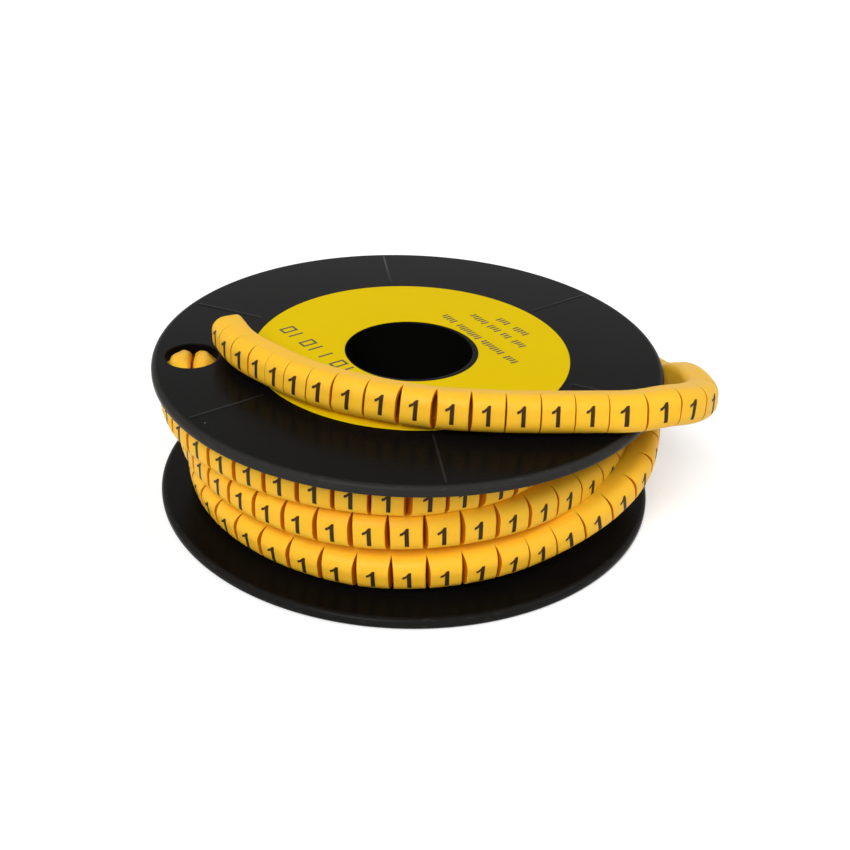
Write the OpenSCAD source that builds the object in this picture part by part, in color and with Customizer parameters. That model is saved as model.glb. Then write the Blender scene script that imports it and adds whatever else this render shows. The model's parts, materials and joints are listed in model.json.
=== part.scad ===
// Reel of cable markers: a flanged plastic reel with a face label, wound with a
// part-cut strip of rounded sleeves. The loose end of the strip lies over the upper flange.
// Millimetres. Z is the reel's axis, and Z = 0 is the underside of the lower flange.

/* [Reel] */
// Diameter of both flanges
flange_d = 100; // [92:1:112]
// Width over both flanges
reel_width = 29.6; // [29:0.2:34]
// Thickness of each flange
flange_t = 2.2; // [1.8:0.1:2.4]
// Radius of the rounded rim
rim_r = 0.9; // [0.4:0.1:0.9]
// Outside diameter of the hub
hub_d = 30; // [28:1:36]
// Diameter of the spindle bore
bore_d = 25; // [20:0.5:25]
// Diameter of the round hole in the upper flange
hole_d = 10.2; // [7:0.2:11]
// Number of raised lines on the upper face
line_count = 6; // [3:1:8]

/* [Label] */
// Outside diameter of the ring label
label_d = 62.4; // [50:0.2:64]
// Diameter of the hole in the label
label_hole_d = 26.4; // [26.4:0.2:32]
// Thickness of the label
label_t = 0.15; // [0.1:0.05:0.3]

/* [Marker strip] */
// Height of a sleeve, along the reel's axis
sleeve_h = 7; // [6.8:0.1:7.4]
// Depth of a sleeve, from spine to printed face
sleeve_d = 6.2; // [5.8:0.1:6.4]
// Radius of a sleeve's long corners
sleeve_corner = 2.2; // [1.8:0.1:2.6]
// Wall of a sleeve
sleeve_wall = 0.9; // [0.8:0.1:1.1]
// Distance from cut to cut, along the spine
sleeve_pitch = 5.87; // [5:0.01:7]
// Width of a cut
cut_w = 0.3; // [0.2:0.05:0.5]

/* [Hidden] */
rim = flange_d / 2;
top = reel_width;
gap_low = flange_t;
gap_high = reel_width - flange_t;
// How far a cutting solid runs past the face it cuts
over = 1;

// The label is stuck on a little off centre
label_shift = [0.45, -0.4];

// The round hole lies halfway between two of the raised lines
hole_angle = 188;
hole_inset = 7.7;
hole_reach = rim - hole_inset;
line_w = 0.5;
line_h = 0.2;
line_l = 15.6;
line_end = rim - rim_r - line_w;
line_start = line_end - line_l;
first_line = hole_angle - 180 / line_count;

// Heights of the three rows that the outer turns lie in, and of the loose end on the face
row_clear = 0.2;
head_room = 1.7;
mid_lift = 0.25;
tail_clear = 0.45;
row_low = gap_low + row_clear + sleeve_h / 2;
row_top = gap_high - head_room - sleeve_h / 2;
row_mid = (row_low + row_top) / 2 + mid_lift;
tail_z = top + label_t + tail_clear + sleeve_h / 2;

// The outer layer lies a little inside the rim, and the turns under it are one solid
lay_inset = 9.8;
lay_depth = 3.4;
hub_clear = 0.2;
roll_clear = 0.8;
groove = 1.2;
lay = rim - lay_inset;
roll_r = lay - lay_depth;
roll_in = hub_d / 2 + hub_clear;
roll_top = gap_high - roll_clear;
row_flat = (sleeve_h - sleeve_corner) / 2;

// The cuts leave the inner wall of a hollow sleeve and the inner half of a wound one
spine_in = 0.15;
spine_t = 0.6;
spine_h = sleeve_h / 2;
spine_hold = 0.8;
// Depth from the inner face at which the strip keeps its length round a bend
bend_in = 1.5;

// The outer turns, from the loop inwards: radius, height and lean at angles on the way round.
// The loose turns stray from their lay and their rows by multiples of one length
stray = 1;
reach = [
    [20, rim - 2.2 * stray],
    [75, rim - 2 * stray],
    [130, rim - 3.6 * stray],
    [180, lay + stray],
    [240, lay],
    [300, lay + 0.6 * stray],
    [340, rim - 2.4 * stray],
    [355, rim - 2.4 * stray],
    [395, lay + 1.4 * stray],
    [470, lay + 0.2 * stray],
    [527, lay + 3 * stray],
    [610, lay + 0.5 * stray],
    [670, lay + 0.2 * stray],
    [705, lay + 2.4 * stray],
    [740, lay + 1.6 * stray],
    [815, lay + 3.8 * stray],
    [905, lay + 5.6 * stray],
    [990, lay + 0.6 * stray],
    [1005, lay - 0.6 * stray],
    [1040, lay - 4.5 * stray],
    [1075, roll_r - 3 * stray]
];
level = [
    [20, row_top + stray],
    [130, row_low],
    [255, row_low],
    [298, row_low + 1.1 * stray],
    [352, row_mid + 2.7 * stray],
    [395, row_mid],
    [500, row_mid + 0.3 * stray],
    [600, row_mid],
    [655, row_mid + 1.3 * stray],
    [690, row_mid + 1.5 * stray],
    [740, row_top],
    [870, row_top],
    [905, row_top + stray],
    [940, row_top],
    [1005, row_top],
    [1075, row_top - 0.6 * stray]
];
leaning = [
    [20, 0],
    [130, -10],
    [295, -10],
    [345, 0],
    [1075, 0]
];
turn_step = 5;
turn_start = reach[0][0];
turn_end = reach[len(reach) - 1][0];

// Route of the loose end, from its tip to the loop that clears the rim: x, y, height, lean
loop_clear = 1.5;
loop_reach = rim + sleeve_d / 2 + loop_clear;
tail_route = [
    [-0.714 * rim, 0.018 * rim, tail_z, -32],
    [-0.604 * rim, -0.208 * rim, tail_z, -22],
    [-0.504 * rim, -0.312 * rim, tail_z, -12],
    [-0.302 * rim, -0.48 * rim, tail_z, 3],
    [0.026 * rim, -0.6 * rim, tail_z, 13],
    [0.32 * rim, -0.624 * rim, tail_z, 15],
    [0.67 * rim, -0.604 * rim, tail_z, 15],
    [0.94 * rim, -0.524 * rim, tail_z, 12],
    [loop_reach - 2.6 * stray, -0.412 * rim, tail_z - stray, 8],
    [loop_reach, -0.264 * rim, tail_z - 4.2 * stray, 0],
    [loop_reach - 0.2 * stray, -0.1 * rim, row_top + 3.1 * stray, 0],
    [loop_reach - 2.6 * stray, 0.08 * rim, row_top + 1.1 * stray, 0]
];
tail_steps = 6;

function ease(u) = u * u * (3 - 2 * u);
function unit(v) = v / norm(v);
function xyz(p) = [p[0], p[1], p[2]];

// Value at an angle, eased from one entry of a table to the next
function before(table, a, i = 0) =
    i == len(table) - 2 || a <= table[i + 1][0] ? i : before(table, a, i + 1);
function eased(table, a) =
    let (i = before(table, a), p = table[i], q = table[i + 1])
    p[1] + (q[1] - p[1]) * ease((a - p[0]) / (q[0] - p[0]));
function turn_at(a) =
    let (r = eased(reach, a))
    [r * cos(a), r * sin(a), eased(level, a), eased(leaning, a)];

// Smooth curve through four points, for u from 0 at q to 1 at r
function curve(p, q, r, s, u) =
    0.5 * (2 * q + (r - p) * u + (2 * p - 5 * q + 4 * r - s) * u * u
    + (3 * q - p - 3 * r + s) * u * u * u);

tail_points = concat(
    [2 * tail_route[0] - tail_route[1]],
    tail_route,
    [turn_at(turn_start), turn_at(turn_start + 3 * turn_step)]
);
route = concat(
    [for (i = [1 : len(tail_points) - 3], j = [0 : tail_steps - 1])
        curve(tail_points[i - 1], tail_points[i], tail_points[i + 1], tail_points[i + 2], j / tail_steps)],
    [for (a = [turn_start : turn_step : turn_end]) turn_at(a)]
);
last = len(route) - 1;

// Axes of a sleeve: towards the spine, up along the sleeve's height, and along the strip
function axes(along, lean) =
    let (side = unit(cross([0, 0, 1], along)), up = cross(along, side))
    [side * cos(lean) - up * sin(lean), up * cos(lean) + side * sin(lean), along];
function heading(i) = unit(xyz(route[min(i + 1, last)]) - xyz(route[max(i - 1, 0)]));

// The cuts are spaced along the line that keeps its length
spine = [for (i = [0 : last])
    xyz(route[i]) + axes(heading(i), route[i][3])[0] * (sleeve_d / 2 - bend_in)];
lengths = [for (i = 0, s = 0; i <= last; i = i + 1, s = s + (i > last ? 0 : norm(spine[i] - spine[i - 1])))
    s];
function along_spine(s, k) = lookup(s, [for (i = [0 : last]) [lengths[i], spine[i][k]]]);
sleeve_count = floor(lengths[last] / sleeve_pitch);
cuts = [for (n = [0 : sleeve_count]) [for (k = [0 : 2]) along_spine(n * sleeve_pitch, k)]];
ways = [for (n = [0 : sleeve_count - 1]) unit(cuts[n + 1] - cuts[n])];
leans = [for (i = [0 : last]) [lengths[i], route[i][3]]];
tail_length = lengths[(len(tail_points) - 3) * tail_steps];

// Half the cut before a sleeve, wider at a bend so that the inner faces stay apart
function half_cut(n) =
    let (bend = n == 0 || n == sleeve_count ? 0 : acos(min(1, ways[n - 1] * ways[n])))
    cut_w / 2 + bend_in * tan(bend / 2);

// Quarter of a rounded rim, turning from one angle to the next
function rim_arc(z, from) =
    [for (a = [from : 45 : from + 90]) [rim - rim_r + rim_r * cos(a), z + rim_r * sin(a)]];

// Rounded section: the printed side's corners turn in two steps, the inner side's in one
function section(h, d, r) =
    let (x = d / 2 - r, y = h / 2 - r, cut = r * tan(22.5))
    concat(
        [for (a = [90 : 45 : 180]) [r * cos(a) - x, r * sin(a) + y]],
        [for (a = [180 : 45 : 270]) [r * cos(a) - x, r * sin(a) - y]],
        [[x + cut, -h / 2], [d / 2, -y - cut], [d / 2, y + cut], [x + cut, h / 2]]
    );

module spool() color([0.13, 0.13, 0.13]) {
    difference() {
        rotate_extrude($fn = 72)
            polygon(concat(
                [[bore_d / 2, 0]],
                rim_arc(rim_r, -90),
                rim_arc(gap_low - rim_r, 0),
                [[hub_d / 2, gap_low], [hub_d / 2, gap_high]],
                rim_arc(gap_high + rim_r, -90),
                rim_arc(top - rim_r, 0),
                [[bore_d / 2, top]]
            ));
        rotate(hole_angle)
            translate([hole_reach, 0, gap_high - over])
                cylinder(d = hole_d, h = flange_t + 2 * over, $fn = 32);
    }
    for (i = [0 : line_count - 1])
        rotate(first_line + i * 360 / line_count)
            translate([line_start, -line_w / 2, top - line_h])
                cube([line_end - line_start, line_w, 2 * line_h]);
}

module face_label() color([0.9, 0.78, 0.02])
    translate([label_shift[0], label_shift[1], top])
        difference() {
            cylinder(d = label_d, h = label_t, $fn = 72);
            translate([0, 0, -over])
                cylinder(d = label_hole_d, h = label_t + 2 * over, $fn = 48);
        }

// One sleeve in its own axes, with the inner face towards X and the strip running along Z
module sleeve(n, hollow) {
    translate([bend_in - sleeve_d / 2, 0, half_cut(n)])
        linear_extrude(sleeve_pitch - half_cut(n) - half_cut(n + 1))
            difference() {
                polygon(section(sleeve_h, sleeve_d, sleeve_corner));
                if (hollow)
                    polygon(section(sleeve_h - 2 * sleeve_wall, sleeve_d - 2 * sleeve_wall,
                        sleeve_corner - sleeve_wall));
            }
}

// Uncut spine from one sleeve into the next
module spine_web(n, hollow) {
    depth = hollow ? spine_t : sleeve_d / 2 - spine_in;
    half = half_cut(n + 1) + spine_hold;
    translate([bend_in - spine_in - depth, -spine_h / 2, sleeve_pitch - half])
        cube([depth, spine_h, 2 * half]);
}

// Outer side of one row of the inner turns
function row_edge(z) =
    [[roll_r - groove, z - sleeve_h / 2], [roll_r, z - row_flat], [roll_r, z + row_flat],
    [roll_r - groove, z + sleeve_h / 2]];

// The inner turns: a solid ring with a groove between each two rows
module inner_turns() {
    rotate_extrude($fn = 36)
        polygon(concat(
            [[roll_in, gap_low], [roll_r - groove, gap_low]],
            row_edge(row_low),
            row_edge(row_mid),
            row_edge(row_top),
            [[roll_r - groove, roll_top], [roll_in, roll_top]]
        ));
}

// Sleeves in the loose end are hollow, and the wound turns are solid
module marker_strip() color([1, 0.76, 0.1]) {
    inner_turns();
    for (n = [0 : sleeve_count - 1]) {
        frame = axes(ways[n], lookup((n + 0.5) * sleeve_pitch, leans));
        hollow = (n + 1) * sleeve_pitch < tail_length;
        multmatrix([for (k = [0 : 2]) [frame[0][k], frame[1][k], frame[2][k], cuts[n][k]]]) {
            sleeve(n, hollow);
            if (n < sleeve_count - 1)
                spine_web(n, hollow);
        }
    }
}

spool();
face_label();
marker_strip();
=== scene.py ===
import bisect
import json
import math
import random

import bmesh
import bpy
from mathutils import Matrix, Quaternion, Vector


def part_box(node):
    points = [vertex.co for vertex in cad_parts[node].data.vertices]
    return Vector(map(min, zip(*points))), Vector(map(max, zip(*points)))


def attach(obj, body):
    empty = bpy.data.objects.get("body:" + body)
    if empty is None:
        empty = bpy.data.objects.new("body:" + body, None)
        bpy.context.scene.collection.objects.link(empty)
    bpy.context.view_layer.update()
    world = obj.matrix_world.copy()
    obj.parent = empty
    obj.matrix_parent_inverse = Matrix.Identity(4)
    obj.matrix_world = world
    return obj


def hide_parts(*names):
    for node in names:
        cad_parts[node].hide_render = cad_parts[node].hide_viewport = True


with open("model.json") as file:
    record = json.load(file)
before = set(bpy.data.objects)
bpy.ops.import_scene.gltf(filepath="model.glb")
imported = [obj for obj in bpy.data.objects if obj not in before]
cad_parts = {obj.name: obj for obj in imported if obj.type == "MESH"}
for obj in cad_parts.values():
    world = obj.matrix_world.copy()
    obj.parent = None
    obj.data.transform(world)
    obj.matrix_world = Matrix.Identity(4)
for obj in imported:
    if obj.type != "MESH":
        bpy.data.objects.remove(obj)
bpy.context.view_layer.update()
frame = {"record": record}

# Reel
# One moulding in black plastic: two flat flanges with rounded rims on a short hollow hub.
# The upper flange has a round hole to tuck the strip's end in.
MM = 0.001
bore_size = next(m for m in frame["record"]["mounts"] if m["name"] == "spindle_bore")["dims"]
rim = -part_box("spool")[0].x / MM
top = bore_size["length_mm"]
bore_r = bore_size["r_mm"]
hub_r = 15
flange_t = 2.2
rim_r = 0.9
edge_r = 0.25
hub_fillet = 0.5
edge_loop = 0.15
hole_r = 5.1
hole_angle = 188
hole_reach = rim - 7.7
REEL_STEPS = 240
HOLE_STEPS = 72
REEL_BLACK = (0.0022, 0.0021, 0.0019)
REEL_WORN_AND_SHEEN = (0.005, 0.0048, 0.0044)
SHEEN_AND_SCUFF_GREY = (0.11, 0.108, 0.1)
DUST_GREY = (0.1, 0.097, 0.09)


def add(tree, kind, **settings):
    """New shader node with the given settings."""
    node = tree.nodes.new("ShaderNode" + kind)
    for setting, value in settings.items():
        setattr(node, setting, value)
    return node


def feed(tree, slot, value):
    """Gives a socket a number, a colour or another socket's value."""
    if isinstance(value, bpy.types.NodeSocket):
        tree.links.new(value, slot)
    else:
        slot.default_value = (*value, 1) if isinstance(value, tuple) else value


def formula(tree, operation, *values):
    """Result of a Math node on numbers or sockets."""
    node = add(tree, "Math", operation=operation)
    for slot, value in zip(node.inputs, values):
        feed(tree, slot, value)
    return node.outputs[0]


def step(tree, value, low, high, to_low=0.0, to_high=1.0):
    """Smooth step of a value from one range to another."""
    node = add(tree, "MapRange", interpolation_type="SMOOTHSTEP")
    for slot, number in zip(node.inputs, (value, low, high, to_low, to_high)):
        feed(tree, slot, number)
    return node.outputs["Result"]


def noise(tree, vector, scale, detail=2.0, roughness=0.5):
    """Value of a noise over a vector."""
    node = add(tree, "TexNoise")
    settings = {"Vector": vector, "Scale": scale, "Detail": detail, "Roughness": roughness}
    for slot, value in settings.items():
        feed(tree, node.inputs[slot], value)
    return node.outputs["Fac"]


def tint(tree, mask, first, second):
    """Colour that goes from the first to the second with a mask."""
    node = add(tree, "Mix", data_type="RGBA")
    slots = node.inputs[0], node.inputs[6], node.inputs[7]
    for slot, value in zip(slots, (mask, first, second)):
        feed(tree, slot, value)
    return node.outputs[2]


def relief(tree, shader, height, depth, strength):
    """Bump on a shader from a height, with its depth in metres."""
    node = add(tree, "Bump")
    node.inputs["Strength"].default_value = strength
    node.inputs["Distance"].default_value = depth
    feed(tree, node.inputs["Height"], height)
    feed(tree, shader.inputs["Normal"], node.outputs["Normal"])


def new_group(name, inputs, outputs):
    """Empty shader node group with named number sockets, and what it is given and puts out."""
    group = bpy.data.node_groups.new(name, "ShaderNodeTree")
    for socket, value in inputs.items():
        slot = group.interface.new_socket(socket, in_out="INPUT", socket_type="NodeSocketFloat")
        slot.default_value = value
    for socket in outputs:
        group.interface.new_socket(socket, in_out="OUTPUT", socket_type="NodeSocketFloat")
    given = group.nodes.new("NodeGroupInput").outputs
    result = group.nodes.new("NodeGroupOutput").inputs
    return group, given, result


def use_group(tree, group, **values):
    """Outputs of a group placed in a material with its own values."""
    node = add(tree, "Group", node_tree=group)
    for socket, value in values.items():
        node.inputs[socket.replace("_", " ")].default_value = value
    return node.outputs


def new_finish(name):
    """New material, its node tree and its Principled shader."""
    finish = bpy.data.materials.new(name)
    finish.use_nodes = True
    return finish, finish.node_tree, finish.node_tree.nodes["Principled BSDF"]


# Broad cloudy patches and a fine grain, on moulded plastic, paper and soft strip alike
mottle, given, result = new_group(
    "mottle", {"Patch Scale": 60.0, "Grain Scale": 3000.0}, ["Patches", "Grain"]
)
place = add(mottle, "TexCoord").outputs["Object"]
feed(mottle, result["Patches"], noise(mottle, place, given["Patch Scale"], detail=3))
feed(mottle, result["Grain"], noise(mottle, place, given["Grain Scale"]))

# Pale specks of dust, far apart and of uneven size, on the reel and the label
dust, given, result = new_group("dust", {"Scale": 150.0, "Size": 0.08, "Share": 0.3}, ["Mask"])
cells = add(dust, "TexVoronoi")
feed(dust, cells.inputs["Vector"], add(dust, "TexCoord").outputs["Object"])
feed(dust, cells.inputs["Scale"], given["Scale"])
lot = add(dust, "SeparateColor")
feed(dust, lot.inputs["Color"], cells.outputs["Color"])
speck = formula(dust, "MULTIPLY", lot.outputs["Green"], given["Size"])
near = formula(dust, "LESS_THAN", cells.outputs["Distance"], speck)
kept = formula(dust, "LESS_THAN", lot.outputs["Red"], given["Share"])
feed(dust, result["Mask"], formula(dust, "MULTIPLY", near, kept))

# Satin black, with a painted highlight that makes the rims paler, the upper one more, and fine
# scuffs running round them, painted paler as scuffs and as glints of that highlight
rim_band_from = rim - 1.3
rim_band_full = rim - 0.35
lower_sheen = 0.08
upper_sheen = 0.22
scuff_glint_share = 0.14
scuff_dull = 0.2
scuff_stretch = 0.012
reel_plastic, tree, shader = new_finish("reel_plastic")
shader.inputs["Specular IOR Level"].default_value = 0.026
skin = use_group(tree, mottle, Patch_Scale=45.0, Grain_Scale=2600.0)
specks = use_group(tree, dust, Scale=170.0, Size=0.05, Share=0.1)
xyz = add(tree, "SeparateXYZ")
feed(tree, xyz.inputs["Vector"], add(tree, "TexCoord").outputs["Object"])
far_x = formula(tree, "MULTIPLY", xyz.outputs["X"], xyz.outputs["X"])
far_y = formula(tree, "MULTIPLY", xyz.outputs["Y"], xyz.outputs["Y"])
far_out = formula(tree, "SQRT", formula(tree, "ADD", far_x, far_y))
at_rim = step(tree, far_out, rim_band_from * MM, rim_band_full * MM)
round_way = formula(tree, "ARCTAN2", xyz.outputs["Y"], xyz.outputs["X"])
streak = add(tree, "CombineXYZ")
feed(tree, streak.inputs["X"], formula(tree, "MULTIPLY", round_way, scuff_stretch))
feed(tree, streak.inputs["Y"], far_out)
feed(tree, streak.inputs["Z"], xyz.outputs["Z"])
streaks = noise(tree, streak.outputs["Vector"], scale=1500, detail=4, roughness=0.6)
# Streaks round the rims: scuffs that also dull the gloss, painted paler as glints of a painted
# highlight
scuff_and_glint_mask = formula(tree, "MULTIPLY", at_rim, step(tree, streaks, 0.56, 0.72))
# Painted highlight: the rims are made paler, the upper rim more than the lower
rim_sheen = step(tree, xyz.outputs["Z"], 0.4 * top * MM, 0.8 * top * MM, lower_sheen, upper_sheen)
plain = tint(tree, skin["Patches"], REEL_BLACK, REEL_WORN_AND_SHEEN)
sheened = tint(tree, formula(tree, "MULTIPLY", at_rim, rim_sheen), plain, SHEEN_AND_SCUFF_GREY)
scuffs_and_glints = tint(tree, formula(tree, "MULTIPLY", scuff_and_glint_mask, scuff_glint_share), sheened, SHEEN_AND_SCUFF_GREY)
feed(tree, shader.inputs["Base Color"], tint(tree, specks["Mask"], scuffs_and_glints, DUST_GREY))
gloss = step(tree, skin["Patches"], 0.3, 0.7, 0.2, 0.28)
feed(tree, shader.inputs["Roughness"], formula(tree, "MULTIPLY_ADD", scuff_and_glint_mask, scuff_dull, gloss))
relief(tree, shader, skin["Grain"], depth=0.012 * MM, strength=0.35)


def arc(r, z, radius, start, end, steps=6):
    """Points of a round edge about a centre, from one angle to another, in degrees."""
    angles = [math.radians(start + (end - start) * k / steps) for k in range(steps + 1)]
    return [(r + radius * math.cos(a), z + radius * math.sin(a)) for a in angles]


def flange_rim(low):
    """Rounded rim of a flange, from its lower face up, with a point beside each round edge."""
    inner = rim - rim_r
    return (
        [(inner - edge_loop, low)]
        + arc(inner, low + rim_r, rim_r, -90, 0)
        + arc(inner, low + flange_t - rim_r, rim_r, 0, 90)
        + [(inner - edge_loop, low + flange_t)]
    )


def revolve(outline, steps, at=(0, 0), capped=False):
    """Points and faces of an outline of radius and height, turned about an upright axis."""
    count = len(outline)
    points = []
    for k in range(steps):
        a = 2 * math.pi * k / steps
        points += [(at[0] + r * math.cos(a), at[1] + r * math.sin(a), z) for r, z in outline]
    faces = []
    for k in range(steps):
        here = k * count
        there = (k + 1) % steps * count
        for i in range(count - 1 if capped else count):
            j = (i + 1) % count
            faces.append((here + i, there + i, there + j, here + j))
    if capped:
        faces += [[k * count + end for k in range(steps)] for end in (0, count - 1)]
    return points, faces


def smooth(mesh, crease=35):
    """Shades a mesh smooth, apart from edges where its faces meet at more than the crease."""
    mesh.shade_smooth()
    mesh.set_sharp_from_angle(angle=math.radians(crease))


def new_piece(name, points, faces, finish, crease=35):
    """Mesh object from points in millimetres."""
    mesh = bpy.data.meshes.new(name)
    mesh.from_pydata([Vector(p) * MM for p in points], [], faces)
    shape = bmesh.new()
    shape.from_mesh(mesh)
    bmesh.ops.recalc_face_normals(shape, faces=shape.faces)
    shape.to_mesh(mesh)
    shape.free()
    mesh.materials.append(finish)
    smooth(mesh, crease)
    piece = bpy.data.objects.new(name, mesh)
    bpy.context.scene.collection.objects.link(piece)
    return piece


def even_shading(piece):
    """Keeps flat faces flat in shading, beside the narrow round edges."""
    piece.modifiers.new("even_shading", "WEIGHTED_NORMAL").keep_sharp = True


reel_outline = (
    arc(bore_r + edge_r, edge_r, edge_r, 180, 270, 3)
    + [(bore_r + edge_r + edge_loop, 0)]
    + flange_rim(0)
    + arc(hub_r + hub_fillet, flange_t + hub_fillet, hub_fillet, 270, 180, 4)
    + arc(hub_r + hub_fillet, top - flange_t - hub_fillet, hub_fillet, 180, 90, 4)
    + flange_rim(top - flange_t)
    + [(bore_r + edge_r + edge_loop, top)]
    + arc(bore_r + edge_r, top - edge_r, edge_r, 90, 180, 3)
)
reel = new_piece("reel", *revolve(reel_outline, REEL_STEPS), reel_plastic)

# The hole's cutter flares at both faces of the flange, so that it leaves rounded edges
flare = 0.004
mouth = hole_r + edge_r
hole_outline = (
    [(mouth, top - flange_t - 1)]
    + arc(mouth, top - flange_t + edge_r - flare, edge_r, 270, 180, 4)
    + arc(mouth, top - edge_r + flare, edge_r, 180, 90, 4)
    + [(mouth, top + 1)]
)
hole_way = math.radians(hole_angle)
hole_at = Vector((math.cos(hole_way), math.sin(hole_way))) * hole_reach
cutter = new_piece("hole_cutter", *revolve(hole_outline, HOLE_STEPS, hole_at, True), reel_plastic)
reel.modifiers.new("hole", "BOOLEAN").object = cutter
bpy.context.view_layer.objects.active = reel
bpy.ops.object.modifier_apply(modifier="hole")
bpy.data.objects.remove(cutter)
smooth(reel.data)
even_shading(reel)
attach(reel, "root")
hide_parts("spool")

# Raised lines
# Six thin half-round ribs of the reel's own plastic, moulded with the upper face and spread
# evenly about the hole. They are painted a little paler, in patches, as a painted highlight.
line_count = 6
line_w = 0.5
line_h = 0.2
line_l = 15.6
line_end = rim - rim_r - line_w
line_root = line_h / 4
line_tip = 0.1
RIB_STEPS = 5
LINE_SHEEN = (0.01, 0.0097, 0.009)
line_crest, tree, shader = new_finish("line_crest")
shader.inputs["Roughness"].default_value = 0.4
shader.inputs["Specular IOR Level"].default_value = 0.15
rib_patches = use_group(tree, mottle, Patch_Scale=120.0, Grain_Scale=2600.0)
# Painted highlight: the ribs are coloured paler than the face, in patches
feed(tree, shader.inputs["Base Color"], tint(tree, rib_patches["Patches"], REEL_WORN_AND_SHEEN, LINE_SHEEN))
rib_rings = [
    (line_end - line_l, line_tip),
    (line_end - line_l + line_w, 1),
    (line_end - line_w, 1),
    (line_end, line_tip),
]
rib_points = []
rib_faces = []
count = RIB_STEPS + 1
for n in range(line_count):
    a = math.radians(hole_angle + 360 / line_count * (n - 0.5))
    out = Vector((math.cos(a), math.sin(a), 0))
    side = Vector((-out.y, out.x, 0))
    first = len(rib_points)
    for reach_out, size in rib_rings:
        for k in range(count):
            b = math.pi * k / RIB_STEPS
            across = side * math.cos(b) * line_w / 2 * size
            height = (line_h + line_root) * math.sin(b) * size
            rib_points.append(out * reach_out + across + Vector((0, 0, top - line_root + height)))
    for r in range(len(rib_rings) - 1):
        here = first + r * count
        for k in range(count):
            j = (k + 1) % count
            rib_faces.append((here + k, here + j, here + count + j, here + count + k))
    for end in (first, first + (len(rib_rings) - 1) * count):
        rib_faces.append([end + k for k in range(count)])
ribs = new_piece("raised_lines", rib_points, rib_faces, line_crest, crease=50)
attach(ribs, "root")

# Face label
# A ring of coated yellow paper, stuck to the upper face a little off centre round the bore.
label_low, label_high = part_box("face_label")
label_at = (label_low + label_high) / 2 / MM
label_r = (label_high.x - label_low.x) / 2 / MM
label_z = label_high.z / MM
label_hole_r = 13.2
paper_edge = 0.05
LABEL_YELLOW = (0.80, 0.565, 0.002)
LABEL_FADED = (0.74, 0.515, 0.004)
label_paper, tree, shader = new_finish("label_paper")
shader.inputs["Specular IOR Level"].default_value = 0.01
fibres = use_group(tree, mottle, Patch_Scale=35.0, Grain_Scale=1800.0)
specks = use_group(tree, dust, Scale=260.0, Size=0.05, Share=0.1)
paper = tint(tree, fibres["Patches"], LABEL_YELLOW, LABEL_FADED)
feed(tree, shader.inputs["Base Color"], tint(tree, specks["Mask"], paper, DUST_GREY))
feed(tree, shader.inputs["Roughness"], step(tree, fibres["Grain"], 0.3, 0.7, 0.42, 0.52))
relief(tree, shader, fibres["Grain"], depth=0.01 * MM, strength=0.3)
label_outline = [
    (label_hole_r, label_low.z / MM),
    (label_r, label_low.z / MM),
    (label_r, label_z - paper_edge),
    (label_r - paper_edge, label_z),
    (label_hole_r + paper_edge, label_z),
    (label_hole_r, label_z - paper_edge),
]
label = new_piece(
    "face_label_paper", *revolve(label_outline, REEL_STEPS, label_at), label_paper, crease=30
)
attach(label, "root")
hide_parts("face_label")

# Print on the label
# Dark olive ink, printed on the paper in one thin layer: a row of plain upright marks,
# and three lines of small plain ticks.
INK_OLIVE = (0.035, 0.028, 0.006)
INK_THIN = (0.07, 0.055, 0.008)
ink_t = 0.012
mark_h = 3.3
mark_w = 2.2
mark_pitch = 3.6
stroke = 0.48
tick_w = 0.44
tick_pitch = 0.85
tick_heights = [1.8, 1.44, 1.62]
word_gap = 1.3
marks_from = Vector((-25.2, 7.6, 0))
marks_to = Vector((-11.6, -9.9, 0))
mark_forms = ["frame", "bar", "frame", "bar", "bar", "frame", "bar"]
tick_rows = [
    (Vector((26.1, -11.2, 0)), Vector((3.0, 24.1, 0)), [3.2, 6.4, 7.5, 4.0]),
    (Vector((27.4, -2.7, 0)), Vector((9.5, 23.6, 0)), [3.4, 2.2, 3.0, 5.2]),
    (Vector((24.7, 8.4, 0)), Vector((18.9, 16.2, 0)), [4.6, 3.0]),
]
label_ink, tree, shader = new_finish("label_ink")
shader.inputs["Roughness"].default_value = 0.55
worn_ink = use_group(tree, mottle, Patch_Scale=400.0, Grain_Scale=5000.0)
feed(tree, shader.inputs["Base Color"], tint(tree, worn_ink["Patches"], INK_OLIVE, INK_THIN))
print_points = []
print_faces = []


def printed_bar(corner, along, across):
    """Thin slab of ink with a corner and two edges on the label's face."""
    first = len(print_points)
    for z in (label_z - ink_t, label_z + ink_t):
        for p in (corner, corner + along, corner + along + across, corner + across):
            print_points.append((p.x, p.y, z))
    print_faces.append([first + k for k in range(4)])
    print_faces.append([first + 4 + k for k in range(4)])
    for k in range(4):
        j = (k + 1) % 4
        print_faces.append((first + k, first + j, first + 4 + j, first + 4 + k))


def row_axes(start, end):
    """Directions along a printed row and up from it."""
    way = (end - start).normalized()
    return way, Vector((-way.y, way.x, 0))


row_way, row_up = row_axes(marks_from, marks_to)
for n, form in enumerate(mark_forms):
    corner = marks_from + row_way * mark_pitch * n - row_up * mark_h / 2
    printed_bar(corner, row_way * stroke, row_up * mark_h)
    if form == "frame":
        printed_bar(corner + row_way * (mark_w - stroke), row_way * stroke, row_up * mark_h)
        for height in (0, mark_h - stroke):
            inside = corner + row_way * stroke + row_up * height
            printed_bar(inside, row_way * (mark_w - 2 * stroke), row_up * stroke)
for start, end, words in tick_rows:
    row_way, row_up = row_axes(start, end)
    spare = (end - start).length - sum(words) - word_gap * (len(words) - 1)
    corner = start + row_way * spare / 2
    for length in words:
        for k in range(round(length / tick_pitch)):
            height = tick_heights[k % len(tick_heights)]
            printed_bar(corner + row_way * tick_pitch * k, row_way * tick_w, row_up * height)
        corner = corner + row_way * (length + word_gap)
label_print = new_piece("label_print", print_points, print_faces, label_ink)
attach(label_print, "root")

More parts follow.
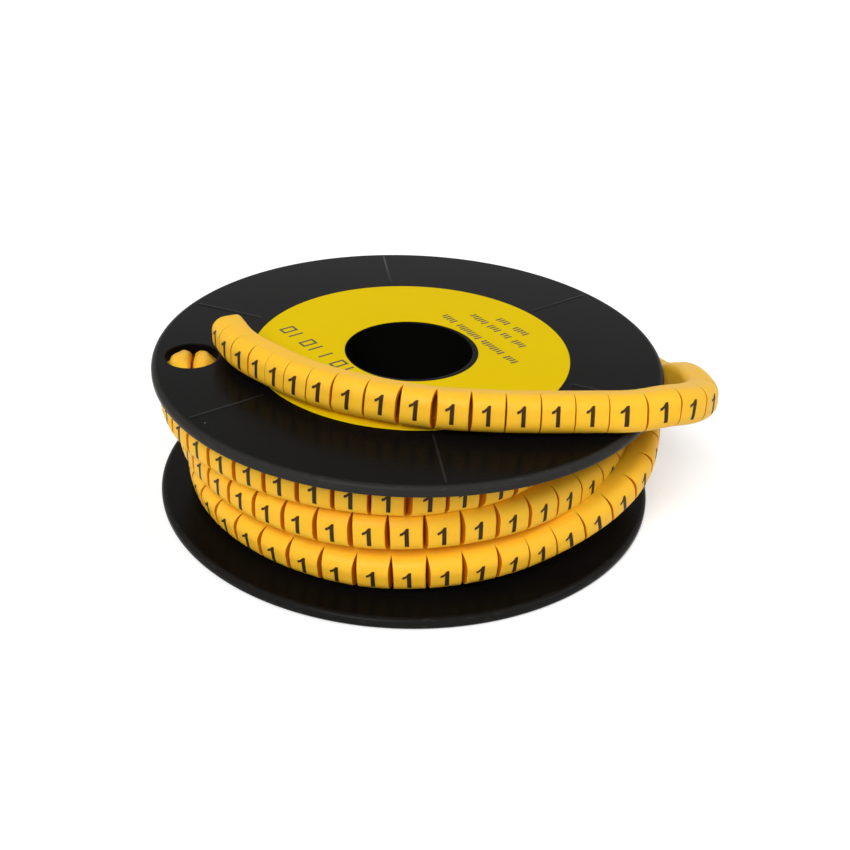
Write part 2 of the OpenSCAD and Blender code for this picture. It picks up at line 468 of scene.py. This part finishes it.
# Marker strip
# Soft yellow PVC, extruded as a tube and cut halfway through from the printed side, so that the
# uncut inner half joins the sleeves. It is wound in three rows, and its end lies over the face.
sleeve_h = 7
sleeve_d = 6.2
sleeve_corner = 2.6
spine_corner = 1.5
sleeve_wall = 0.9
sleeve_pitch = 5.87
bend_in = 1.5
root_x = bend_in - sleeve_d / 2
face_x = bend_in - sleeve_d
flat_y = sleeve_h / 2 - sleeve_corner
spine_y = sleeve_h / 2 - spine_corner
cut_w = 0.3
cut_edge = 0.14
FINE_STEPS = 8

# The first sleeves are short, and some cuts, counted from the tip, are pressed shut or stand open.
# Towards the loop past the rim, the cuts close up by a share of their width.
end_sleeves = [4.5] * 7
end_cuts = {1: 0.05, 2: 0.05, 4: 0.05, 5: 0.05, 6: 0.05, 9: 0.75, 10: 0.95, 11: 0.6}
shut_from = 0.2
shut_most = 0.5

# A turn that passes under the round hole swells up into it, flat over most of its width
swell_h = 2.8
swell_r = hole_r - 0.2
swell_power = 10

# The wound strip: its radius, height and lean over the angle in degrees, from the loop inwards
row_low = flange_t + 0.2 + sleeve_h / 2
row_top = top - flange_t - 1.7 - sleeve_h / 2
row_mid = (row_low + row_top) / 2 + 0.25
lay = rim - 9.8
roll_r = lay - 3.4
turn_step = 2.5
wound_reach = [
    (20, rim - 2.7), (75, rim - 2.05), (130, rim - 3.6), (180, lay + 1), (240, lay),
    (300, lay + 0.6), (340, rim - 2.4), (355, rim - 2.4), (395, lay + 1.4), (470, lay + 0.2),
    (527, lay + 3), (610, lay + 0.5), (670, lay + 0.2), (705, lay + 2.4), (740, lay + 1.6),
    (815, lay + 3.8), (905, lay + 5.6), (990, lay + 0.6), (1005, lay - 0.6), (1040, lay - 4.5),
    (1075, roll_r - 3),
]
wound_level = [
    (20, row_top + 0.3), (130, row_low), (255, row_low), (298, row_low + 1.1),
    (352, row_mid + 2.7), (395, row_mid), (500, row_mid + 0.3), (600, row_mid),
    (655, row_mid + 1.3), (690, row_mid + 1.5), (740, row_top), (870, row_top),
    (905, row_top + 1), (940, row_top), (1005, row_top), (1075, row_top - 0.6),
]
wound_lean = [(20, 0), (130, -10), (295, -10), (345, 0), (1075, 0)]

# The loose end: places of its middle and its lean, from the tip over the face to the loop
tail_z = label_z + 0.45 + sleeve_h / 2
loop_reach = rim + sleeve_d / 2 + 1.5
tail_route = [
    (-0.704 * rim, -0.068 * rim, tail_z, 0),
    (-0.63 * rim, -0.208 * rim, tail_z, 1),
    (-0.52 * rim, -0.324 * rim, tail_z, 3),
    (-0.306 * rim, -0.484 * rim, tail_z, 8),
    (0.026 * rim, -0.6 * rim, tail_z, 13),
    (0.32 * rim, -0.624 * rim, tail_z, 15),
    (0.67 * rim, -0.604 * rim, tail_z, 15),
    (0.804 * rim, -0.588 * rim, tail_z, 14),
    (0.916 * rim, -0.536 * rim, tail_z - 0.3, 12),
    (loop_reach - 3.7, -0.458 * rim, tail_z - 1.7, 8),
    (loop_reach - 0.3, -0.348 * rim, tail_z - 3.4, 4),
    (loop_reach + 0.1, -0.204 * rim, tail_z - 4.9, 1),
    (loop_reach - 0.4, -0.06 * rim, row_top + 4.3, 0),
    (loop_reach - 2.8, 0.084 * rim, row_top + 0.6, 0),
]
tail_steps = 12
lead_in = 15


def eased(table, a):
    """Value at an angle, eased from one entry of a table to the next."""
    last = len(table) - 2
    i = next(k for k in range(last + 1) if a <= table[k + 1][0] or k == last)
    u = (a - table[i][0]) / (table[i + 1][0] - table[i][0])
    return table[i][1] + (table[i + 1][1] - table[i][1]) * u * u * (3 - 2 * u)


def turns(reach, level, leaning):
    """Places and leans of a wound strip, from tables of radius, height and lean over the angle."""
    first, last = reach[0][0], reach[-1][0]
    places = []
    for k in range(int((last - first) / turn_step) + 1):
        a = first + k * turn_step
        r = eased(reach, a)
        b = math.radians(a)
        x, y = r * math.cos(b), r * math.sin(b)
        places.append(Vector((x, y, eased(level, a), eased(leaning, a))))
    return places


def curve(p, q, r, s, u):
    """Smooth curve through four points, for u from 0 at q to 1 at r."""
    bend = (2 * p - 5 * q + 4 * r - s) * u * u + (3 * q - p - 3 * r + s) * u * u * u
    return 0.5 * (2 * q + (r - p) * u + bend)


def axes(along, lean):
    """Axes of a sleeve on a strip that runs along a way: towards the spine, and up its height."""
    side = Vector((0, 0, 1)).cross(along).normalized()
    up = along.cross(side)
    a = math.radians(lean)
    return side * math.cos(a) - up * math.sin(a), up * math.cos(a) + side * math.sin(a)


def ways(points):
    """Directions of a line at its points."""
    last = len(points) - 1
    spans = [(points[max(i - 1, 0)], points[min(i + 1, last)]) for i in range(last + 1)]
    return [(q - p).to_3d().normalized() for p, q in spans]


def depth(x):
    """Share of the way from the root of the cuts to the printed face, at a place in the section."""
    return max(0, (root_x - x) / (root_x - face_x))


def section(inset, steps):
    """Points and normals round the section: the printed half, then the inner half."""
    ring = []

    def corner(x, y, radius, start):
        for k in range(steps + 1):
            a = math.radians(start + 90 * k / steps)
            out = radius - inset
            ring.append((x + out * math.cos(a), y + out * math.sin(a), math.cos(a), math.sin(a)))

    ring.append((root_x, sleeve_h / 2 - inset, 0, 1))
    corner(face_x + sleeve_corner, flat_y, sleeve_corner, 90)
    ring.extend((face_x + inset, flat_y * t, -1, 0) for t in (0.5, 0, -0.5))
    corner(face_x + sleeve_corner, -flat_y, sleeve_corner, 180)
    ring.append((root_x, inset - sleeve_h / 2, 0, -1))
    corner(bend_in - spine_corner, -spine_y, spine_corner, 270)
    ring.extend((bend_in - inset, spine_y * t, 1, 0) for t in (-0.5, 0, 0.5))
    corner(bend_in - spine_corner, spine_y, spine_corner, 0)
    return ring


def swollen(p):
    """Point of the strip, raised where a turn swells up into the round hole."""
    off = (p.xy - hole_at).length / swell_r
    if off < 1 and row_top < p.z < top:
        p.z += swell_h * (1 - off ** swell_power) * min(1, (p.z - row_top) / (sleeve_h / 2))
    return p


class Strip:
    """Sleeves along a route, spaced along the line in them that keeps its length round a bend."""

    def __init__(self, route, first_sleeves=(), set_cuts=None):
        self.set_cuts = set_cuts or {}
        self.line = []
        for p, way in zip(route, ways(route)):
            self.line.append(p.to_3d() + axes(way, p[3])[0] * (sleeve_d / 2 - bend_in))
        self.ways = ways(self.line)
        self.leans = [p[3] for p in route]
        self.lengths = [0]
        for p, q in zip(self.line, self.line[1:]):
            self.lengths.append(self.lengths[-1] + (q - p).length)
        self.cuts = [0]
        for length in first_sleeves:
            self.cuts.append(self.cuts[-1] + length)
        while self.cuts[-1] + sleeve_pitch < self.lengths[-1]:
            self.cuts.append(self.cuts[-1] + sleeve_pitch)
        self.count = len(self.cuts) - 1
        self.starts = [self.frame(s)[0] for s in self.cuts]
        self.chords = [q - p for p, q in zip(self.starts, self.starts[1:])]
        self.straight = []
        for n, chord in enumerate(self.chords):
            self.straight.append(axes(chord.normalized(), self.lean(self.middle(n))))

    def middle(self, n):
        """Length from the strip's start to the middle of sleeve n."""
        return (self.cuts[n] + self.cuts[n + 1]) / 2

    def spot(self, s):
        """Point of the line before a length, and the share of the way to the next one."""
        i = min(max(bisect.bisect(self.lengths, s) - 1, 0), len(self.lengths) - 2)
        return i, (s - self.lengths[i]) / (self.lengths[i + 1] - self.lengths[i])

    def lean(self, s):
        """Lean of the strip at a length from its start."""
        i, u = self.spot(s)
        return self.leans[i] + (self.leans[i + 1] - self.leans[i]) * u

    def frame(self, s):
        """Point of the line and the sleeve's axes at a length from its start."""
        i, u = self.spot(s)
        way = self.ways[i].lerp(self.ways[i + 1], u).normalized()
        return self.line[i].lerp(self.line[i + 1], u), *axes(way, self.lean(s))

    def point(self, n, x, y, s, stiff):
        """Point of sleeve n: the inner half follows the bend, the printed half stays straighter."""
        centre, to_spine, up = self.frame(s)
        bent = centre + to_spine * x + up * y
        to_spine, up = self.straight[n]
        share = (s - self.cuts[n]) / (self.cuts[n + 1] - self.cuts[n])
        flat = self.starts[n] + to_spine * x + up * y + self.chords[n] * share
        return swollen(bent.lerp(flat, stiff * depth(x)))

    def mesh(self, first, last, steps, stiff, spread, hollow, tip):
        """Points, faces and the faces inside the cuts, for the sleeves from one cut to another."""
        outer = section(0, steps)
        inner = section(sleeve_wall, steps)
        count = len(outer)
        front = 2 * steps + 6
        between = (0.25, 0.5, 0.75)
        points = []
        faces = []
        cut_faces = []

        def gap(cut):
            """Width of a cut at the printed face, beside what the straight sleeves leave open."""
            if cut in (first, last):
                return 0
            if cut in self.set_cuts:
                return self.set_cuts[cut]
            bend = self.chords[cut - 1].angle(self.chords[cut], 0)
            shut = min(max(self.starts[cut].x / rim - shut_from, 0), shut_most)
            return cut_w * (1 - shut) + (spread * (1 - shut) - stiff) * bend * -face_x

        def ring(form, n, cut, way, back, inset, shared=None):
            """Ring of a sleeve beside a cut, set back from it and in from the surface."""
            at_tip = tip and cut == first
            width = gap(cut)
            rounded = inset if at_tip else inset * min(1, width / cut_w + 0.2)
            ids = []
            for i, (x, y, out_x, out_y) in enumerate(form):
                deep = depth(x)
                if shared and deep == 0:
                    ids.append(shared[i])
                    continue
                by = rounded if at_tip else rounded * min(1, 4 * deep)
                s = self.cuts[cut] + way * (width / 2 * deep + back)
                points.append(self.point(n, x - out_x * by, y - out_y * by, s, stiff))
                ids.append(len(points) - 1)
            return ids

        def close(outside, inside, whole):
            """End of a sleeve at a cut: the printed half, or the whole of it at the strip's end."""
            here = len(faces)
            if inside:
                for i in range(count if whole else front):
                    j = (i + 1) % count
                    faces.append((outside[i], outside[j], inside[j], inside[i]))
            else:
                for i in range(front // 2):
                    left = outside[front - i - 1], outside[front - i]
                    faces.append(list(dict.fromkeys((outside[i], outside[i + 1], *left))))
                if whole:
                    faces.append(outside[front:] + outside[:1])
            if not whole:
                cut_faces.extend(range(here, len(faces)))

        edge = [(0, cut_edge), (0.4 * cut_edge, 0.3 * cut_edge), (1.3 * cut_edge, 0)]
        shared_outer = shared_inner = None
        for n in range(first, last):
            size = self.cuts[n + 1] - self.cuts[n]
            outer_rings = [ring(outer, n, n, 1, *edge[0], shared_outer)]
            outer_rings += [ring(outer, n, n, 1, *setting) for setting in edge[1:]]
            outer_rings += [ring(outer, n, n, 1, size * t, 0) for t in between]
            outer_rings += [ring(outer, n, n + 1, -1, *setting) for setting in edge[::-1]]
            shared_outer = outer_rings[-1]
            inner_rings = []
            if hollow:
                inner_rings = [ring(inner, n, n, 1, 0, 0, shared_inner)]
                inner_rings += [ring(inner, n, n, 1, size * t, 0) for t in between]
                inner_rings.append(ring(inner, n, n + 1, -1, 0, 0))
                shared_inner = inner_rings[-1]
            for rings in (outer_rings, inner_rings):
                here = len(faces)
                for a, b in zip(rings, rings[1:]):
                    for i in range(count):
                        j = (i + 1) % count
                        faces.append((a[i], a[j], b[j], b[i]))
                if rings is inner_rings:
                    cut_faces.extend(range(here, len(faces)))
            close(outer_rings[0], inner_rings and inner_rings[0], n == first)
            close(outer_rings[-1], inner_rings and inner_rings[-1], n == last - 1)
        return points, faces, cut_faces


wound = turns(wound_reach, wound_level, wound_lean)
tail = [Vector(p) for p in tail_route]
tail = [2 * tail[0] - tail[1]] + tail + [wound[0], wound[int(lead_in / turn_step)]]
route = []
for i in range(1, len(tail) - 2):
    route += [curve(*tail[i - 1:i + 3], j / tail_steps) for j in range(tail_steps)]
strip = Strip(route + wound, end_sleeves, end_cuts)
tail_count = bisect.bisect(strip.cuts, strip.lengths[len(route)]) - 1

# Soft and a little see-through on its skin; where the cuts and the open tube show the inside, the
# colour is painted darker and redder as shade
PVC_YELLOW = (0.97, 0.54, 0.032)
PVC_DEEP = (0.95, 0.49, 0.024)
marker_pvc, tree, shader = new_finish("marker_pvc")
shader.inputs["Roughness"].default_value = 0.45
shader.inputs["Specular IOR Level"].default_value = 0.15
shader.inputs["Subsurface Weight"].default_value = 0.35
shader.inputs["Subsurface Radius"].default_value = (1.0, 0.35, 0.06)
shader.inputs["Subsurface Scale"].default_value = 1.2 * MM
drawn = use_group(tree, mottle, Patch_Scale=180.0, Grain_Scale=2200.0)
feed(tree, shader.inputs["Base Color"], tint(tree, drawn["Patches"], PVC_YELLOW, PVC_DEEP))
relief(tree, shader, drawn["Grain"], depth=0.02 * MM, strength=0.25)
# Painted shade: the faces inside the cuts and the tube are coloured darker and redder, standing in
# for the dim, reddened light deep in the gaps
CUT_SHADE_ORANGE = (0.72, 0.23, 0.006)
CUT_SHADE_DEEP = (0.6, 0.17, 0.004)
cut_shade_pvc, tree, shader = new_finish("cut_shade_pvc")
shader.inputs["Roughness"].default_value = 0.6
shader.inputs["Specular IOR Level"].default_value = 0.15
shade_patches = use_group(tree, mottle, Patch_Scale=500.0, Grain_Scale=4000.0)
feed(tree, shader.inputs["Base Color"], tint(tree, shade_patches["Patches"], CUT_SHADE_ORANGE, CUT_SHADE_DEEP))


def shade_cuts(piece, cut_faces):
    """Gives the faces inside the cuts and the tube a darker, redder colour: painted shade."""
    piece.data.materials.append(cut_shade_pvc)
    for i in cut_faces:
        piece.data.polygons[i].material_index = 1


TAIL_FIT = {"stiff": 0.3, "spread": 0.35}
WOUND_FIT = {"stiff": 0.45, "spread": 0.9}
strip_meshes = {
    "loose_end": strip.mesh(0, tail_count, FINE_STEPS, **TAIL_FIT, hollow=True, tip=True),
    "wound_turns": strip.mesh(
        tail_count, strip.count, FINE_STEPS, **WOUND_FIT, hollow=False, tip=False
    ),
}
for name, (points, faces, cut_faces) in strip_meshes.items():
    piece = new_piece(name, points, faces, marker_pvc, crease=50)
    shade_cuts(piece, cut_faces)
    even_shading(piece)
    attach(piece, "root")
    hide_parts("marker_strip")

# Inner turns
# The same strip under the outer layer, wound tight in three rows on the turns before it.
# The upper row carries on from the outer row's end and bulges with it under the round hole.
under = lay - sleeve_d
core_r = under - sleeve_d / 2 - 0.3
core_gap = 0.2
core_top = top - flange_t - 0.8
ROUGH_STEPS = 4
CORE_STEPS = 96
upper_reach = [
    (355, roll_r - 3), (380, under + 1.3), (450, under + 3.4), (545, under + 5.5),
    (625, under + 0.5), (640, under),
]
upper_level = [(355, row_top - 0.6), (400, row_top), (545, row_top + 0.8), (640, row_top)]
lower_reach = [(90, under - 0.1), (450, under - 0.1)]
upright = [(0, 0), (1, 0)]
inner_rows = [Strip(turns(upper_reach, upper_level, upright))]
for z in (row_low, row_mid):
    inner_rows.append(Strip(turns(lower_reach, [(90, z), (450, z)], upright)))
inner_points = []
inner_faces = []
inner_cuts = []
for row in inner_rows:
    points, faces, cut_faces = row.mesh(
        0, row.count, ROUGH_STEPS, **WOUND_FIT, hollow=False, tip=False
    )
    inner_cuts += [k + len(inner_faces) for k in cut_faces]
    inner_faces += [[k + len(inner_points) for k in face] for face in faces]
    inner_points += points
inner_turns = new_piece("inner_turns", inner_points, inner_faces, marker_pvc, crease=50)
shade_cuts(inner_turns, inner_cuts)
core_outline = [
    (hub_r + core_gap, flange_t),
    (core_r, flange_t),
    (core_r, core_top),
    (hub_r + core_gap, core_top),
]
core = new_piece("core_turns", *revolve(core_outline, CORE_STEPS), marker_pvc)
for piece in (inner_turns, core):
    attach(piece, "root")
    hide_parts("marker_strip")

# Digits
# A plain figure one, printed in thin dark ink on the outer face of each sleeve, up into its
# round corners and a little off its place from sleeve to sleeve.
random.seed(11)
digit_t = 0.02
digit_drift = 0.1
digit_shift = 0.35
digit_half = 1.9
stem_w = 0.72
stem_heights = (-digit_half, -1.6, -1.2, -0.5, 0.3, 0.9, 1.2, 1.5)
stem_rows = [[(0, v), (stem_w, v)] for v in stem_heights]
stem_rows.append([(0.3, digit_half), (stem_w, digit_half)])
flag_rows = [[(-0.75, 0.45), (-0.75, 0.95)], [(-0.3, 0.62), (-0.3, 1.18)], [(0, 0.9), (0, 1.5)]]
DIGIT_INK = (0.024, 0.01, 0.004)
DIGIT_THIN = (0.06, 0.027, 0.007)
digit_ink, tree, shader = new_finish("digit_ink")
shader.inputs["Specular IOR Level"].default_value = 0.15
shader.inputs["Roughness"].default_value = 0.5
patchy = use_group(tree, mottle, Patch_Scale=900.0, Grain_Scale=6000.0)
feed(tree, shader.inputs["Base Color"], tint(tree, patchy["Patches"], DIGIT_INK, DIGIT_THIN))
digit_points = []
digit_faces = []


def on_face(v):
    """Point and normal of the section at a height along its printed face and round its corners."""
    if abs(v) <= flat_y:
        return face_x, v, -1, 0
    a = (abs(v) - flat_y) / sleeve_corner
    side = math.copysign(1, v)
    x = face_x + sleeve_corner * (1 - math.cos(a))
    return x, side * (flat_y + sleeve_corner * math.sin(a)), -math.cos(a), side * math.sin(a)


def inked(row, n, stiff, outline, along, drop):
    """Thin slab of ink on sleeve n of a row, from pairs of points along and up its face."""
    first = len(digit_points)
    for lift in (-digit_t, digit_t):
        for pair in outline:
            for u, v in pair:
                x, y, out_x, out_y = on_face(v + drop)
                s = row.middle(n) + u + along
                digit_points.append(row.point(n, x + out_x * lift, y + out_y * lift, s, stiff))
    size = 2 * len(outline)
    for base in (first, first + size):
        for k in range(base, base + size - 2, 2):
            digit_faces.append((k, k + 1, k + 3, k + 2))
    border = list(range(0, size, 2)) + list(range(size - 1, 0, -2))
    for k, j in zip(border, border[1:] + border[:1]):
        digit_faces.append((first + k, first + j, first + size + j, first + size + k))


for row in [strip] + inner_rows:
    for n in range(row.count):
        fit = TAIL_FIT if row is strip and n < tail_count else WOUND_FIT
        along = random.uniform(-digit_drift, digit_drift) - digit_shift
        drop = random.uniform(-digit_drift, digit_drift)
        for outline in (stem_rows, flag_rows):
            inked(row, n, fit["stiff"], outline, along, drop)
digits = new_piece("sleeve_digits", digit_points, digit_faces, digit_ink)
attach(digits, "root")

# Studio
# A plain white floor, broad soft lights above and in front, and the camera at the
# photograph's angle.
floor_half = 4000
floor_drop = 0.02
floor_glow = 0.35
sky_light = 0.35


def seen(tree):
    """One for rays that show the background, also in a mirror or glass, and nought for others."""
    ray = add(tree, "LightPath").outputs
    mirrored = formula(tree, "MAXIMUM", ray["Is Glossy Ray"], ray["Is Transmission Ray"])
    return formula(tree, "MAXIMUM", ray["Is Camera Ray"], mirrored)


floor_white, tree, shader = new_finish("floor_white")
shader.inputs["Base Color"].default_value = (0.85, 0.85, 0.85, 1)
shader.inputs["Roughness"].default_value = 0.9
shader.inputs["Specular IOR Level"].default_value = 0.0
shader.inputs["Emission Color"].default_value = (1, 1, 1, 1)
feed(tree, shader.inputs["Emission Strength"], formula(tree, "MULTIPLY", seen(tree), floor_glow))
sides = [(-1, -1), (1, -1), (1, 1), (-1, 1)]
corners = [(x * floor_half, y * floor_half, -floor_drop) for x, y in sides]
floor = new_piece("floor", corners, [(0, 1, 2, 3)], floor_white)

world = bpy.data.worlds.new("studio")
world.use_nodes = True
bpy.context.scene.world = world
tree = world.node_tree
sky = tree.nodes["Background"]
sky.inputs["Color"].default_value = (1, 1, 1, 1)
glow = formula(tree, "MULTIPLY_ADD", seen(tree), 1 - sky_light, sky_light)
feed(tree, sky.inputs["Strength"], glow)


def soft_light(name, place, size, strength):
    """Square soft light in metres, turned to the reel; its strength is for a white surface."""
    lamp = bpy.data.lights.new(name, "AREA")
    lamp.size = size
    where = Vector(place)
    aim = where - Vector((0, 0, top / 2 * MM))
    lamp.energy = strength * math.pi * math.pi * aim.length_squared
    light = bpy.data.objects.new(name, lamp)
    light.location = where
    light.rotation_euler = aim.to_track_quat("Z", "Y").to_euler()
    bpy.context.scene.collection.objects.link(light)


soft_light("key_light", place=(-0.7, -2.0, 2.3), size=1.6, strength=0.76)
soft_light("fill_light", place=(1.9, -0.6, 1.7), size=1.6, strength=0.2)

view_from = Vector((0, -0.20911, 0.13395))
view_way = Vector((0.0154, 0.8645, -0.5023))
view_roll = math.radians(2.42)
lens = bpy.data.cameras.new("camera")
lens.lens = 49.97
lens.sensor_width = 36
lens.clip_start = 0.01
camera = bpy.data.objects.new("camera", lens)
camera.location = view_from
camera.rotation_mode = "QUATERNION"
camera.rotation_quaternion = view_way.to_track_quat("-Z", "Y") @ Quaternion((0, 0, 1), view_roll)
bpy.context.scene.collection.objects.link(camera)
bpy.context.scene.camera = camera
bpy.context.scene.view_settings.view_transform = "Standard"
